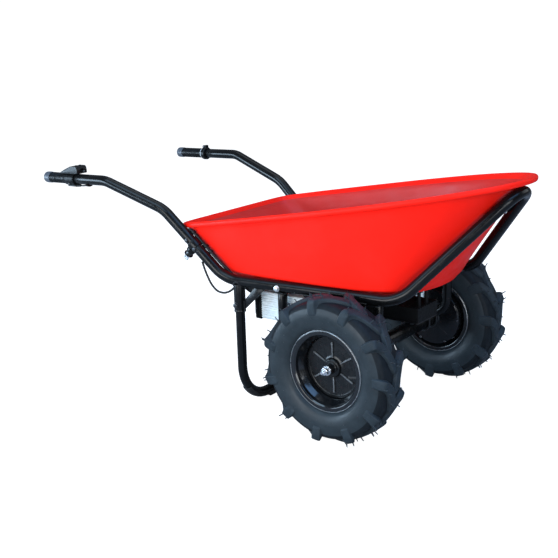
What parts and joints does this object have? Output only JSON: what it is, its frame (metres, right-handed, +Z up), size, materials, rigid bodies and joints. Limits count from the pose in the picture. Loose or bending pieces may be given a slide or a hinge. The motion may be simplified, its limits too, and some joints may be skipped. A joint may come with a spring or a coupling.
{
  "type": "concrete buggy",
  "caption": "Powered concrete buggy: sloped poly tub on a bent tube frame with hub-motor lug-tyre wheels, a U-shaped stand, a slung battery and twist-grip handles.",
  "frame": {"origin": "on the ground under the middle of the overall length and width", "axes": "+X forwards to the pouring nose, +Y to the left hand of a user at the grips, +Z up"},
  "size_m": [1.543, 0.706, 0.7144],
  "materials": {
    "frame_black": "gloss black powder coat",
    "wear_black": "worn black paint",
    "tub_red": "satin moulded polyethylene",
    "zinc": "bright zinc plate",
    "steel": "machined",
    "dark_steel": "black oxide",
    "copper": "enamelled windings on laminations",
    "tyre": "moulded rubber",
    "rim_black": "gloss black",
    "motor_black": "semi-gloss black",
    "valve_rubber": "matt",
    "battery_grey": "pale anodised, finned",
    "cap_black": "fine grain",
    "cell_blue": "wrapped",
    "controller_alloy": "sand cast",
    "board_green": "lacquered",
    "grip_rubber": "ribbed, satin",
    "control_black": "fine grain",
    "gauge_glass": "tinted window",
    "switch_metal": "plated",
    "cable_black": "braided and sheathed"
  },
  "bodies": {
    "chassis": {"main_frame": "frame_black", "handle_tube_right": "frame_black", "handle_tube_left": "frame_black", "handle_spigots": "steel", "cross_tubes": "frame_black", "nose_plate": "frame_black", "tub": "tub_red", "tub_fasteners": "zinc", "stand_sleeves": "frame_black", "stand_leg": "frame_black", "stand_braces": "frame_black", "stand_shoes": "wear_black", "axle_cradle_right": "frame_black", "axle_cradle_left": "frame_black", "saddle_brackets": "frame_black", "frame_bolts": "zinc", "axle_beam": "frame_black", "beam_u_bolts": "zinc", "axle_shaft_right": "steel", "axle_shaft_left": "steel", "stator_right": "copper", "stator_left": "copper", "axle_nuts": "zinc", "battery_case": "battery_grey", "battery_caps": "cap_black", "battery_cells": "cell_blue", "battery_straps": "frame_black", "controller_case": "controller_alloy", "controller_cover": "cap_black", "controller_board": "board_green", "grip_right": "grip_rubber", "grip_left": "grip_rubber", "lock_collar": "control_black", "throttle_spring": "steel", "pod_body": "control_black", "pod_clamp": "control_black", "gauge_lens": "gauge_glass", "key_bracket": "frame_black", "key_switch_body": "switch_metal", "wiring": "cable_black", "loom_clips": "control_black"},
    "right_wheel": {"tyre_right": "tyre", "rim_right": "rim_black", "motor_cover_right": "motor_black", "motor_back_right": "motor_black", "magnets_right": "steel", "bearings_right": "steel", "cover_screws_right": "dark_steel", "valve_right": "valve_rubber"},
    "left_wheel": {"tyre_left": "tyre", "rim_left": "rim_black", "motor_cover_left": "motor_black", "motor_back_left": "motor_black", "magnets_left": "steel", "bearings_left": "steel", "cover_screws_left": "dark_steel", "valve_left": "valve_rubber"},
    "throttle": {"throttle_sleeve": "grip_rubber"},
    "direction_lever": {"direction_lever": "control_black"},
    "key": {"key_barrel": "switch_metal"}
  },
  "joints": [
    {"name": "right_wheel_spin", "type": "hinge", "parent": "chassis", "child": "right_wheel", "pos_m": [0.3445, -0.3, 0.205], "axis": [0, 1, 0], "continuous": true},
    {"name": "left_wheel_spin", "type": "hinge", "parent": "chassis", "child": "left_wheel", "pos_m": [0.3445, 0.3, 0.205], "axis": [0, 1, 0], "continuous": true},
    {"name": "throttle_twist", "type": "hinge", "parent": "chassis", "child": "throttle", "pos_m": [-0.68854, -0.313, 0.64841], "axis": [0.9995, 0, 0.0301], "range_deg": [0, 70], "stiffness_Nm_per_rad": 0.2},
    {"name": "direction_toggle", "type": "hinge", "parent": "chassis", "child": "direction_lever", "pos_m": [-0.60339, -0.313, 0.67798], "axis": [0, 1, 0], "range_deg": [-15, 15]},
    {"name": "key_turn", "type": "hinge", "parent": "chassis", "child": "key", "pos_m": [-0.18889, -0.27567, 0.45285], "axis": [-0.6622, 0, -0.7493], "range_deg": [0, 90]}
  ]
}
